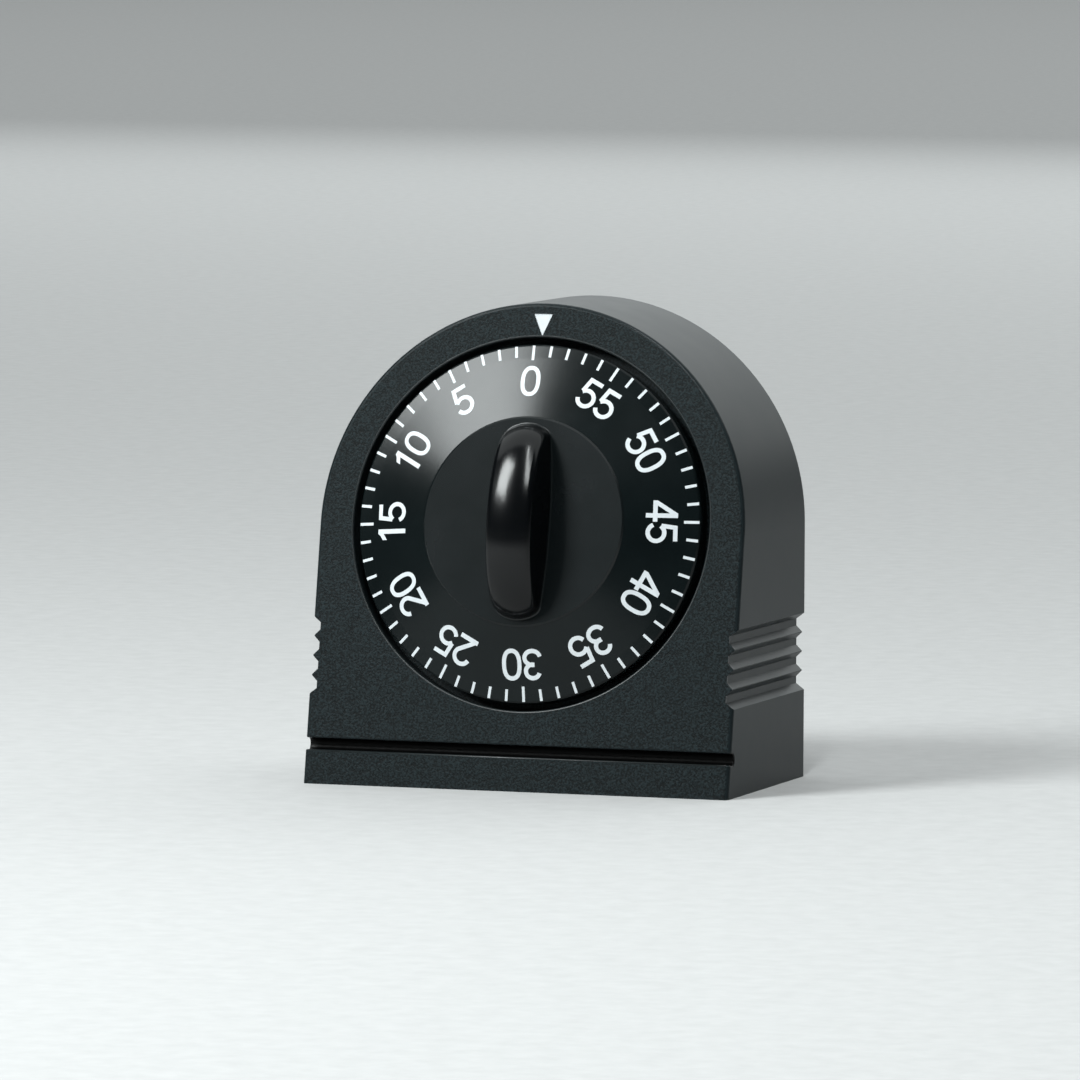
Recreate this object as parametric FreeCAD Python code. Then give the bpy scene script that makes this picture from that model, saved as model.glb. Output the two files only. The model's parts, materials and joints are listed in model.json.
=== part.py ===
import FreeCAD, Part
import math
import os

# A sixty minute wind-up timer that stands on a table. Millimetres and degrees.
# Row frame: origin at the middle of the base, +X to the right seen from the front,
# the front faces -Y and +Z is up.
# Dial frame: used for everything that turns. Its origin is where the dial axis meets
# the sloping front face, X is the row's X, Y runs up the slope and Z comes out of it.

os.makedirs("parts", exist_ok=True)

# ---- case
WIDTH = 76.0
HEIGHT = 81.8
BASE_DEPTH = 41.9
TILT = 10.24
WALL = 3.0
EDGE_ROUND = 0.7
HALF = WIDTH / 2
FRONT_Y = -BASE_DEPTH / 2
BACK_Y = BASE_DEPTH / 2
ARCH_Z = HEIGHT - HALF
DIAL_V = 45.5

# ---- front face features, measured up the slope from the front bottom edge
WINDOW_R = 31.8
WINDOW_LIP = 0.35
GROOVE_V = 6.9
GROOVE_WIDTH = 2.0
GROOVE_DEPTH = 2.4
GROOVE_LIP = 0.25
POINTER_TOP_V = 81.35
POINTER_TIP_V = 77.45
POINTER_WIDTH = 3.4
POINTER_POCKET = 0.5
POINTER_RECESS = 0.15

# ---- finger ribs on the two sides
RIB_LOW_Z = 15.0
RIB_PITCH = 3.3
RIB_COUNT = 4
RIB_VALLEY = 1.4
RIB_CREST = 0.4
RIB_FLANK = 1.05
RIB_CREST_FLAT = 0.12

# ---- recessed pan that the dial turns in
PAN_FRONT = -3.8
PAN_BACK = -5.2
PAN_R = 33.4
PAN_HOLE_R = 6.0
STOP_R = 27.8
STOP_WIDTH = 0.85
STOP_HALF_LENGTH = 0.8
STOP_HEIGHT = 2.0
STOP_GAP_ANGLE = 2.0
STOP_ANGLE = -90.0

# ---- back cover
COVER_THICK = 2.0
COVER_INSET = 2.2
COVER_GAP = 0.1
COVER_FACE_Y = BACK_Y - COVER_THICK
SLOT_WIDTH = 1.8
SLOT_PITCH = 4.4
SLOT_COUNT = 7
SLOT_LENGTH = 22.0
SLOT_Z = 38.0
BOSS_R = 3.2
BOSS_REACH = 32.6
BOSS_LOW_Z = 8.0
SCREW_R = 1.2
SCREW_HEAD_R = 2.4
COVER_SCREW_LENGTH = 9.0
COVER_SCREW_SINK = 0.1
COVER_SCREW_HEAD = 1.1
CROSS_REACH = 1.4
CROSS_DEPTH = 0.7
SLOT_HALF = 0.25

# ---- dial and grip
DIAL_R = 30.5
DIAL_EDGE_ROUND = 0.3
DIAL_EDGE_N = 0.65
TICK_ZONE_R = 28.1
TICK_ZONE_N = 1.1
DIAL_WALL = 1.5
DISC_R = 17.9
DISC_TOP = 3.85
DISC_BOTTOM = 2.2
DISC_GAP = 0.02
DISC_STEP = 0.3
DISC_EDGE = 0.3
SEAT_R = 12.0
SKIRT_BOTTOM = -2.9
GRIP_LENGTH = 33.0
GRIP_HEIGHT = 8.35
GRIP_WIDTH = 9.4
GRIP_FLANK_R = 140.0
GRIP_CREST_R = 6.0
GRIP_EDGE_R = 1.8
GRIP_FOOT_R = 0.3
KNOB_BOSS_R = 4.2
BOSS_BOTTOM = -3.2
SHAFT_FLAT = 0.5

# ---- movement plates
PLATE_R = 27.0
PLATE_THICK = 1.0
FRONT_PLATE = PAN_BACK
REAR_PLATE = -20.0
FRONT_INNER = FRONT_PLATE - PLATE_THICK
REAR_OUTER = REAR_PLATE - PLATE_THICK
PILLAR_X = 14.05
PILLAR_Y = 20.07
PILLAR_R = 1.8
PILLAR_STUD_R = 0.9
PLATE_SCREW_R = 1.0
PLATE_SCREW_HEAD = 1.0
PLATE_SCREW_END = 0.6
PLATE_SCREW_SLOT = 0.4
PIVOT_END = 0.1
REAR_PIVOT_END = 0.2
STUD_END = 1.1
NUT_R = 2.1
NUT_HEIGHT = 1.0
PLATE_SCREW_PLACES = [(22.0, 5.0), (22.0, 90.0), (22.0, 175.0)]
RUNNING = 0.03
END_SHAKE = 0.05

# ---- going train: great wheel, second, third and escape
MAIN_R = 2.0
MAIN_PIVOT_R = 1.2
ARBOR_R = 0.65
PIVOT_R = 0.4
LEAVES = 8
GREAT_TEETH = 64
GREAT_MODULE = 0.4
SECOND_TEETH = 64
SECOND_MODULE = 0.3
THIRD_TEETH = 60
THIRD_MODULE = 0.25
RATCHET_TEETH = 20
RATCHET_R = 4.5
RATCHET_TURN = 12.5
RIVET_R = 0.5
ESCAPE_TEETH = 15
ESCAPE_R = 5.5
SECOND_ANGLE = 150.0
THIRD_DIRECTION = -111.0
ESCAPE_DIRECTION = -70.0
PALLET_DIRECTION = -40.0
PALLET_DISTANCE = 7.7
BALANCE_DIRECTION = -5.0
BALANCE_DISTANCE = 8.4
PALLET_SPAN = 42.0
PALLET_PIN_R = 0.2
PALLET_ARBOR_R = 0.5
PALLET_PIN_REACH = ESCAPE_R + PALLET_PIN_R + 0.06
BALANCE_R = 7.0
STAFF_R = 0.5
STAFF_PIVOT_R = 0.3
IMPULSE_RADIUS = 1.8
IMPULSE_PIN_R = 0.22

# ---- bell train
STRIKE_TEETH = 64
STRIKE_MODULE = 0.4
STAR_DIRECTION = -25.0
STAR_TEETH = 6
STAR_R = 4.0
HAMMER_DIRECTION = -58.0
HAMMER_DISTANCE = 9.2
TAIL_DIRECTION = 100.0
TAIL_LENGTH = 5.56
RELEASE_PLACE = (15.0, 9.5)
CAM_R = 5.0
NOTCH_BOTTOM_R = 3.7
NOTCH_WIDTH = 3.2
NOTCH_ANGLE = 67.0
NOSE_ANGLE = 70.0
NOSE_R = 0.4
NOSE_GAP = 0.08
BELL_PLACE = (0.0, -5.0)
BELL_R = 22.0
BELL_THICK = 0.8
BELL_RIM = -22.9
BELL_TOP = -28.6
BELL_SHOULDER_R = 5.0
BELL_SCREW_R = 1.0
BELL_SCREW_LENGTH = 4.5
BELL_SCREW_HEAD_R = 2.0
BELL_SCREW_HEAD = 0.9
BELL_POST_R = 2.4
HAMMER_HEAD_R = 1.8
HAMMER_HEAD_LENGTH = 2.2
HAMMER_HEAD_RIVET_R = 0.6
HAMMER_HEAD_REACH = 18.0

# ---- depths of the moving layers in the dial frame, low then high
GREAT_LAYER = (-8.0, -7.0)
CLICK_LAYER = (-9.3, -8.3)
THIRD_LAYER = (-9.9, -9.2)
CAM_LAYER = (-10.4, -9.8)
SECOND_LAYER = (-11.6, -10.8)
BALANCE_LAYER = (-9.9, -8.9)
HAIRSPRING_LAYER = (-11.6, -11.0)
ROLLER_LAYER = (-12.6, -12.0)
LEVER_LAYER = (-13.4, -12.8)
ESCAPE_LAYER = (-14.4, -13.8)
MAINSPRING_LAYER = (-15.6, -12.8)
STRIKE_LAYER = (-17.2, -16.4)
STRIKE_SPRING_LAYER = (-19.2, -17.8)
STAR_LAYER = (-19.4, -18.6)
HAMMER_LAYER = (-22.2, -21.4)
RETURN_SPRING_LAYER = (-16.2, -15.4)
RETURN_POST_TOP = -14.8
MOVEMENT_DEPTH = (-30.0, 0.0)

# ---- windows of the train wheels: how many, their radius and reach as shares of the root radius
WHEEL_WINDOWS = 5
WHEEL_WINDOW_R = 0.27
WHEEL_WINDOW_REACH = 0.58

# ---- how far a pinion's leaves reach past the wheel that drives them, below and above
PINION_LAP_BELOW = 0.6
PINION_LAP_ABOVE = 0.5

# ---- springs: radius of the first half turn, growth per turn, half turns, thickness, straight tail
MAINSPRING = (2.5, 1.1, 16, 0.35, 2.5)
HAIRSPRING = (1.45, 0.55, 12, 0.12, 0.24)
STRIKE_SPRING = (2.6, 0.8, 8, 0.3, 0.0)
RETURN_SPRING = (1.1, 0.6, 6, 0.2, 0.27)
MAIN_POST_R = 0.7
RETURN_POST_R = 0.5
STUD_R = 0.45

# ---- click and its leaf spring
CLICK_ROOT_R = 1.05
CLICK_TIP_R = 0.2
CLICK_RIVET_HEAD_R = 0.9
CLICK_RIVET_HEAD = 0.35
CLICK_SPRING_FOOT_R = 0.7
CLICK_SPRING_ROOT = 0.2
CLICK_SPRING_END = 0.12
CLICK_SPRING_GAP = 0.1

# ---- arms and hubs of the escapement, the balance, the hammer and the release lever
PALLET_HUB_R = 0.9
PALLET_PIN_EYE_R = 0.5
FORK_R = 0.8
FORK_LAP = 0.35
FORK_DEPTH = 0.9
FORK_CLEARANCE = 0.07
PIN_OVERHANG = 0.2
BALANCE_RIM = 1.1
BALANCE_HUB_R = 1.5
SPOKE_HALF = 0.45
SPOKE_TURNS = (20, 110)
ROLLER_R = 2.3
COLLET_R = 1.3
ESCAPE_WINDOW_R = 0.9
ESCAPE_WINDOW_REACH = 2.4
TAIL_HUB_R = 1.4
TAIL_TIP_R = 0.4
HAMMER_HUB_R = 1.5
HAMMER_EYE_R = 0.9
RELEASE_HUB_R = 1.3
STOP_TIP_R = 0.4
STOP_TIP_GAP = 0.6

# ---- teeth of the odd wheels: root radius or depth, then half widths at root and tip
RATCHET_DEPTH = 0.8
RATCHET_HALF = (0.45, 0.05)
ESCAPE_ROOT_R = 3.9
ESCAPE_HALF = (0.22, 0.045)
STAR_ROOT_R = 2.2
STAR_HALF = (0.28, 0.06)
STAR_TURN = -33.5 + 180 / STAR_TEETH

UP = FreeCAD.Vector(0, 0, 1)
TILT_RAD = math.radians(TILT)
FACE_CENTRE = FreeCAD.Vector(0, FRONT_Y + DIAL_V * math.sin(TILT_RAD), DIAL_V * math.cos(TILT_RAD))
DIAL_FRAME = FreeCAD.Placement(FACE_CENTRE, FreeCAD.Rotation(FreeCAD.Vector(1, 0, 0), 90 - TILT))


# ---------------------------------------------------------------- small helpers
def polar(radius, angle, centre=(0.0, 0.0)):
    """A point at a radius and angle from a centre, in the dial frame."""
    turn = math.radians(angle)
    return (centre[0] + radius * math.cos(turn), centre[1] + radius * math.sin(turn))


def disc(radius, low, high, at=(0.0, 0.0)):
    return Part.makeCylinder(radius, high - low, FreeCAD.Vector(at[0], at[1], low))


def tube(outer, inner, low, high, at=(0.0, 0.0)):
    return disc(outer, low, high, at).cut(disc(inner, low - 1, high + 1, at))


def bore(radius, at=(0.0, 0.0)):
    """A hole right through the movement."""
    return disc(radius, MOVEMENT_DEPTH[0], MOVEMENT_DEPTH[1], at)


def prism(points, low, high):
    """A straight-sided outline, extruded along Z from low to high."""
    corners = [FreeCAD.Vector(x, y, low) for x, y in points]
    corners.append(corners[0])
    face = Part.Face(Part.makePolygon(corners))
    return face.extrude(FreeCAD.Vector(0, 0, high - low))


def block(x_range, y_range, z_range):
    size = [pair[1] - pair[0] for pair in (x_range, y_range, z_range)]
    return Part.makeBox(*size, FreeCAD.Vector(x_range[0], y_range[0], z_range[0]))


def turned(shape, angle, at=(0.0, 0.0)):
    copy = shape.copy()
    copy.rotate(FreeCAD.Vector(at[0], at[1], 0), UP, angle)
    return copy


def fused(shapes):
    first = shapes[0]
    if len(shapes) == 1:
        return first
    return first.fuse(shapes[1:]).removeSplitter()


def link(start, end, start_r, end_r, low, high):
    """A flat arm with round ends, tapering from one radius to the other."""
    run = math.dist(start, end)
    heading = math.degrees(math.atan2(end[1] - start[1], end[0] - start[0]))
    lean = math.degrees(math.asin((start_r - end_r) / run))
    sides = [
        polar(start_r, heading + 90 - lean, start),
        polar(start_r, heading - 90 + lean, start),
        polar(end_r, heading - 90 + lean, end),
        polar(end_r, heading + 90 - lean, end),
    ]
    return fused([prism(sides, low, high), disc(start_r, low, high, start), disc(end_r, low, high, end)])


def revolved(profile, at=(0.0, 0.0)):
    """A closed outline of (radius, height) points, turned about the Z axis."""
    corners = [FreeCAD.Vector(r, 0, z) for r, z in profile]
    corners.append(corners[0])
    solid = Part.Face(Part.makePolygon(corners)).revolve(FreeCAD.Vector(0, 0, 0), UP, 360)
    solid.translate(FreeCAD.Vector(at[0], at[1], 0))
    return solid


def toothed(count, tooth, low, high, at, turn):
    """A toothed disc. tooth lists (radius, half width as a share of the pitch) from root to tip."""
    pitch = 360.0 / count
    sides = [(r, -w) for r, w in tooth] + [(r, w) for r, w in reversed(tooth)]
    points = []
    for i in range(count):
        points += [polar(r, turn + (i + w) * pitch, at) for r, w in sides]
    return prism(points, low, high)


def wheel_teeth(count, module):
    pitch_r = count * module / 2
    steps = [(-1.0, 0.22), (0.0, 0.20), (0.5, 0.155), (0.85, 0.07)]
    return [(pitch_r + rise * module, share) for rise, share in steps]


def leaf_teeth(count, module):
    pitch_r = count * module / 2
    steps = [(-1.15, 0.12), (0.0, 0.17), (0.3, 0.13), (0.5, 0.05)]
    return [(pitch_r + rise * module, share) for rise, share in steps]


def wheel(count, module, layer, at, hole_r, turn=0.0):
    """A brass train wheel with round windows between its arms."""
    body = toothed(count, wheel_teeth(count, module), layer[0], layer[1], at, turn)
    root_r = count * module / 2 - module
    cuts = [bore(hole_r, at)]
    for i in range(WHEEL_WINDOWS):
        centre = polar(root_r * WHEEL_WINDOW_REACH, turn + (i + 0.5) * 360 / WHEEL_WINDOWS, at)
        cuts.append(bore(root_r * WHEEL_WINDOW_R, centre))
    return body.cut(cuts)


def arbor(at, body_r=ARBOR_R, pivot_r=PIVOT_R):
    """A steel arbor with a pivot in each plate."""
    body = disc(body_r, REAR_PLATE + END_SHAKE, FRONT_INNER - END_SHAKE, at)
    return fused([body, disc(pivot_r, REAR_OUTER - REAR_PIVOT_END, FRONT_PLATE - PIVOT_END, at)])


def pinion(at, module, wheel_layer, direction):
    """An arbor with a pinion that meets a wheel lying the other way from direction.

    Its turn puts a gap between two leaves opposite the wheel tooth that it meets."""
    low, high = wheel_layer[0] - PINION_LAP_BELOW, wheel_layer[1] + PINION_LAP_ABOVE
    leaves = toothed(LEAVES, leaf_teeth(LEAVES, module), low, high, at, direction + 180 + 180 / LEAVES)
    return fused([arbor(at), leaves])


def spiral(at, form, layer, turn=0.0):
    """A flat coil spring: half circles about two centres, so that each turn grows by the gap."""
    first_r, gap, half_turns, strip, tail = form
    shift = gap / 2
    edges = []
    for side in (-1, 1):
        row = []
        for i in range(half_turns):
            sign = 1 if i % 2 == 0 else -1
            centre = 0.0 if i % 2 == 0 else shift
            radius = first_r + i * shift + side * strip / 2
            points = [
                FreeCAD.Vector(centre + sign * radius, 0, layer[0]),
                FreeCAD.Vector(centre, sign * radius, layer[0]),
                FreeCAD.Vector(centre - sign * radius, 0, layer[0]),
            ]
            row.append(Part.Arc(*points).toShape())
        edges.append(row)
    inner, outer = edges
    start = Part.makeLine(inner[0].Vertexes[0].Point, outer[0].Vertexes[0].Point)
    end = Part.makeLine(inner[-1].Vertexes[-1].Point, outer[-1].Vertexes[-1].Point)
    outline = Part.Wire(Part.__sortEdges__(inner + outer + [start, end]))
    spring = Part.Face(outline).extrude(FreeCAD.Vector(0, 0, layer[1] - layer[0]))
    if tail:
        reach = end.Vertexes[0].Point.x
        spring = fused([spring, block((reach, reach + tail), (-strip, 0), layer)])
    spring.translate(FreeCAD.Vector(at[0], at[1], 0))
    return turned(spring, turn, at)


def save(name, shape):
    """Write one piece that is already in the row frame."""
    if not shape.isValid():
        raise ValueError(name + " is not a valid shape")
    print(name, len(shape.Solids), round(shape.Volume, 2))
    shape.exportStep("parts/" + name + ".step")


def save_turned(name, shape):
    """Write one piece that was drawn in the dial frame."""
    placed = shape.copy()
    placed.Placement = DIAL_FRAME.multiply(shape.Placement)
    save(name, placed)


# ---------------------------------------------------------------- places of the arbors
SECOND_PLACE = polar((GREAT_TEETH + LEAVES) * GREAT_MODULE / 2, SECOND_ANGLE)
THIRD_PLACE = polar((SECOND_TEETH + LEAVES) * SECOND_MODULE / 2, THIRD_DIRECTION, SECOND_PLACE)
ESCAPE_PLACE = polar((THIRD_TEETH + LEAVES) * THIRD_MODULE / 2, ESCAPE_DIRECTION, THIRD_PLACE)
PALLET_PLACE = polar(PALLET_DISTANCE, PALLET_DIRECTION, ESCAPE_PLACE)
BALANCE_PLACE = polar(BALANCE_DISTANCE, BALANCE_DIRECTION, PALLET_PLACE)
STAR_PLACE = polar((STRIKE_TEETH + LEAVES) * STRIKE_MODULE / 2, STAR_DIRECTION)
HAMMER_PLACE = polar(HAMMER_DISTANCE, HAMMER_DIRECTION, STAR_PLACE)
TRAIN_PLACES = [SECOND_PLACE, THIRD_PLACE, ESCAPE_PLACE, PALLET_PLACE, STAR_PLACE, RELEASE_PLACE]
PILLAR_PLACES = [(x, y) for x in (-PILLAR_X, PILLAR_X) for y in (-PILLAR_Y, PILLAR_Y)]
CLICK_PLACE = polar(7.4, 125.0)
CLICK_TIP = polar(4.55, 90.0)
CLICK_SPRING_FOOT = polar(7.4, 62.0)
CLICK_SPRING_TIP = polar(6.3, 96.0)
MAINSPRING_POST = polar(14.4, 90.0)
HAIRSPRING_TURN = -60.0
HAIRSPRING_STUD = polar(5.4, HAIRSPRING_TURN, BALANCE_PLACE)
HAMMER_POST = polar(3.6, 0.0, HAMMER_PLACE)
RELEASE_POST = polar(3.6, 90.0, RELEASE_PLACE)


# ---------------------------------------------------------------- case
def tombstone(inset, front_y, back_y):
    """The case outline, drawn in from its edge by inset and extruded from front_y to back_y."""
    r = HALF - inset
    corners = [
        FreeCAD.Vector(-r, front_y, inset),
        FreeCAD.Vector(r, front_y, inset),
        FreeCAD.Vector(r, front_y, ARCH_Z),
        FreeCAD.Vector(-r, front_y, ARCH_Z),
    ]
    top = FreeCAD.Vector(0, front_y, ARCH_Z + r)
    edges = [
        Part.makeLine(corners[0], corners[1]),
        Part.makeLine(corners[1], corners[2]),
        Part.Arc(corners[2], top, corners[3]).toShape(),
        Part.makeLine(corners[3], corners[0]),
    ]
    return Part.Face(Part.Wire(edges)).extrude(FreeCAD.Vector(0, back_y - front_y, 0))


def in_front_of(depth):
    """Everything in front of the plane that lies at a depth behind the sloping front face."""
    room = block((-60, 60), (-60, 60), (depth, 80))
    room.Placement = DIAL_FRAME
    return room


def on_face(shape):
    placed = shape.copy()
    placed.Placement = DIAL_FRAME.multiply(shape.Placement)
    return placed


def on_front(point):
    """True for a point that lies in the plane of the front face."""
    return abs((point - FACE_CENTRE).dot(DIAL_FRAME.Rotation.multVec(UP))) < 0.001


def front_edges(body):
    """The edges that lie in the plane of the front face, without the one along the base."""
    found = []
    for edge in body.Edges:
        middle = edge.valueAt((edge.FirstParameter + edge.LastParameter) / 2)
        flush = on_front(middle) and all(on_front(v.Point) for v in edge.Vertexes)
        if flush and edge.BoundBox.ZMax > GROOVE_V / 2:
            found.append(edge)
    return found


def outer_block():
    """The case from outside, with a rounded edge around its face but not along the base."""
    body = tombstone(0, -HALF, BACK_Y).cut(in_front_of(0))
    return body.makeFillet(EDGE_ROUND, front_edges(body))


def with_round_lips(body):
    """Rounds the front edges of the window and of the groove."""
    window = [edge for edge in front_edges(body)
              if isinstance(edge.Curve, Part.Circle) and abs(edge.Curve.Radius - WINDOW_R) < 0.01]
    body = body.makeFillet(WINDOW_LIP, window)
    groove = [edge for edge in front_edges(body) if edge.Length > HALF and edge.BoundBox.ZMax < 2 * GROOVE_V]
    return body.makeFillet(GROOVE_LIP, groove)


def side_ribs(side):
    """The scoops cut into one side wall: flat-bottomed, with narrow crests between them."""
    crest = side * (HALF - RIB_CREST)
    valley = side * (HALF - RIB_VALLEY)
    outside = side * (HALF + 2)
    outline = [(outside, RIB_LOW_Z), (side * HALF, RIB_LOW_Z)]
    for i in range(RIB_COUNT):
        low = RIB_LOW_Z + i * RIB_PITCH
        high = low + RIB_PITCH
        outline += [(valley, low + RIB_FLANK), (valley, high - RIB_FLANK)]
        if i < RIB_COUNT - 1:
            outline += [(crest, high - RIB_CREST_FLAT / 2), (crest, high + RIB_CREST_FLAT / 2)]
    top = RIB_LOW_Z + RIB_COUNT * RIB_PITCH
    outline += [(side * HALF, top), (outside, top)]
    corners = [FreeCAD.Vector(x, FRONT_Y - 5, z) for x, z in outline]
    corners.append(corners[0])
    return Part.Face(Part.makePolygon(corners)).extrude(FreeCAD.Vector(0, BASE_DEPTH + 10, 0))


def front_groove():
    """The round-bottomed groove across the face, above the base strip."""
    radius = GROOVE_WIDTH / 2
    y = GROOVE_V - DIAL_V
    depth = GROOVE_DEPTH - radius
    slot = block((-50, 50), (y - radius, y + radius), (-depth, 5))
    floor = Part.makeCylinder(radius, 100, FreeCAD.Vector(-50, y, -depth), FreeCAD.Vector(1, 0, 0))
    return on_face(slot.fuse(floor))


def pointer_outline(inset):
    """The triangle above the window, its corners drawn in by inset."""
    half = POINTER_WIDTH / 2 - inset
    top = POINTER_TOP_V - DIAL_V - inset / 2
    tip = POINTER_TIP_V - DIAL_V + inset
    return [(-half, top), (0, tip), (half, top)]


def cover_screw_places():
    """Where the four case screws go, as row X and Z."""
    high = [polar(BOSS_REACH, angle, (0.0, ARCH_Z)) for angle in (45, 135)]
    return high + [(-BOSS_REACH, BOSS_LOW_Z), (BOSS_REACH, BOSS_LOW_Z)]


def along_y(radius, x, z, front_y, back_y):
    return Part.makeCylinder(radius, back_y - front_y, FreeCAD.Vector(x, front_y, z), FreeCAD.Vector(0, 1, 0))


def make_front_case():
    outer = outer_block()
    cavity = tombstone(WALL, -HALF, BACK_Y + 1).cut(in_front_of(-WALL))
    shell = outer.cut(cavity)
    bosses = [along_y(BOSS_R, x, z, FRONT_Y, COVER_FACE_Y) for x, z in cover_screw_places()]
    sleeve = on_face(tube(PAN_R, WINDOW_R, PAN_BACK, 0))
    pan = on_face(tube(PAN_R, PAN_HOLE_R, PAN_BACK, PAN_FRONT))
    stop = block((STOP_R - STOP_HALF_LENGTH, STOP_R + STOP_HALF_LENGTH), (-STOP_WIDTH / 2, STOP_WIDTH / 2),
                 (PAN_FRONT - 0.5, PAN_FRONT + STOP_HEIGHT))
    stop = on_face(turned(stop, STOP_ANGLE))
    inside = [piece.common(outer) for piece in bosses + [sleeve, pan]]
    body = shell.fuse(inside)
    body = body.cut([on_face(disc(WINDOW_R, PAN_FRONT, 5)), side_ribs(1), side_ribs(-1), front_groove()])
    body = with_round_lips(body).fuse(stop)
    cuts = [on_face(prism(pointer_outline(0), -POINTER_POCKET, 3))]
    cuts.append(tombstone(COVER_INSET - COVER_GAP, COVER_FACE_Y, BACK_Y + 1))
    for x, z in cover_screw_places():
        cuts.append(along_y(SCREW_R, x, z, COVER_FACE_Y - COVER_SCREW_LENGTH, BACK_Y))
    for radius, angle in PLATE_SCREW_PLACES:
        place = polar(radius, angle)
        cuts.append(on_face(disc(PLATE_SCREW_R, PAN_BACK - 1, PAN_FRONT + 1, place)))
        cuts.append(on_face(plate_screw_head(place)))
    save("front_case", body.cut(cuts).removeSplitter())


def plate_screw_head(place):
    """The cone of a countersunk screw, flush with the pan."""
    foot = FreeCAD.Vector(place[0], place[1], PAN_FRONT - PLATE_SCREW_HEAD)
    return Part.makeCone(PLATE_SCREW_R, PLATE_SCREW_R * 2, PLATE_SCREW_HEAD, foot)


def make_pointer_marker():
    save_turned("pointer_marker", prism(pointer_outline(0), -POINTER_POCKET, -POINTER_RECESS))


def make_back_cover():
    cover = tombstone(COVER_INSET, COVER_FACE_Y, BACK_Y)
    cuts = []
    for i in range(SLOT_COUNT):
        x = (i - (SLOT_COUNT - 1) / 2) * SLOT_PITCH
        half = SLOT_LENGTH / 2
        width = (x - SLOT_WIDTH / 2, x + SLOT_WIDTH / 2)
        cuts.append(block(width, (COVER_FACE_Y - 1, BACK_Y + 1), (SLOT_Z - half, SLOT_Z + half)))
        for z in (SLOT_Z - half, SLOT_Z + half):
            cuts.append(along_y(SLOT_WIDTH / 2, x, z, COVER_FACE_Y - 1, BACK_Y + 1))
    for x, z in cover_screw_places():
        cuts.append(along_y(SCREW_R + COVER_GAP, x, z, COVER_FACE_Y - 1, BACK_Y + 1))
        head_y = BACK_Y - COVER_SCREW_SINK - COVER_SCREW_HEAD
        cuts.append(along_y(SCREW_HEAD_R + COVER_GAP, x, z, head_y, BACK_Y + 1))
    save("back_cover", cover.cut(cuts))


def make_cover_screws():
    screws = []
    top_y = BACK_Y - COVER_SCREW_SINK
    cross_y = (top_y - CROSS_DEPTH, BACK_Y)
    for x, z in cover_screw_places():
        shank = along_y(SCREW_R, x, z, COVER_FACE_Y - COVER_SCREW_LENGTH, top_y - COVER_SCREW_HEAD / 2)
        head = along_y(SCREW_HEAD_R, x, z, top_y - COVER_SCREW_HEAD, top_y)
        cross = [
            block((x - CROSS_REACH, x + CROSS_REACH), cross_y, (z - SLOT_HALF, z + SLOT_HALF)),
            block((x - SLOT_HALF, x + SLOT_HALF), cross_y, (z - CROSS_REACH, z + CROSS_REACH)),
        ]
        screws.append(shank.fuse(head).cut(cross).removeSplitter())
    save("cover_screws", Part.makeCompound(screws))


# ---------------------------------------------------------------- dial and grip
def make_dial_ring():
    """The ring that carries the minute scale: a slightly flatter outer zone for the ticks, a
    cone for the figures, a skirt at its edge and a seat for the grip's disc."""
    seat_bottom = DISC_BOTTOM - DIAL_WALL
    profile = [
        (DIAL_R, SKIRT_BOTTOM),
        (DIAL_R, DIAL_EDGE_N - DIAL_EDGE_ROUND),
        (DIAL_R - DIAL_EDGE_ROUND, DIAL_EDGE_N),
        (TICK_ZONE_R, TICK_ZONE_N),
        (DISC_R + DISC_GAP, DISC_TOP - DISC_STEP),
        (DISC_R + DISC_GAP, DISC_BOTTOM),
        (SEAT_R, DISC_BOTTOM),
        (SEAT_R, seat_bottom),
        (DISC_R, seat_bottom),
        (DIAL_R - DIAL_WALL, DIAL_EDGE_N - DIAL_WALL),
        (DIAL_R - DIAL_WALL, SKIRT_BOTTOM),
    ]
    rib_x = (STOP_R - STOP_HALF_LENGTH, DIAL_R - DIAL_WALL / 2)
    rib = block(rib_x, (-STOP_WIDTH / 2, STOP_WIDTH / 2), (SKIRT_BOTTOM, DIAL_EDGE_N / 2))
    rib = turned(rib, STOP_ANGLE - STOP_GAP_ANGLE)
    save_turned("dial_ring", fused([revolved(profile), rib]))


def upper_crossing(first, first_r, second, second_r):
    """The upper of the two points where two circles cross, the second being to the right of the first."""
    dx, dy = second[0] - first[0], second[1] - first[1]
    apart = math.hypot(dx, dy)
    along = (apart ** 2 + first_r ** 2 - second_r ** 2) / (2 * apart)
    aside = math.sqrt(first_r ** 2 - along ** 2)
    return (first[0] + (along * dx - aside * dy) / apart, first[1] + (along * dy + aside * dx) / apart)


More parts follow.
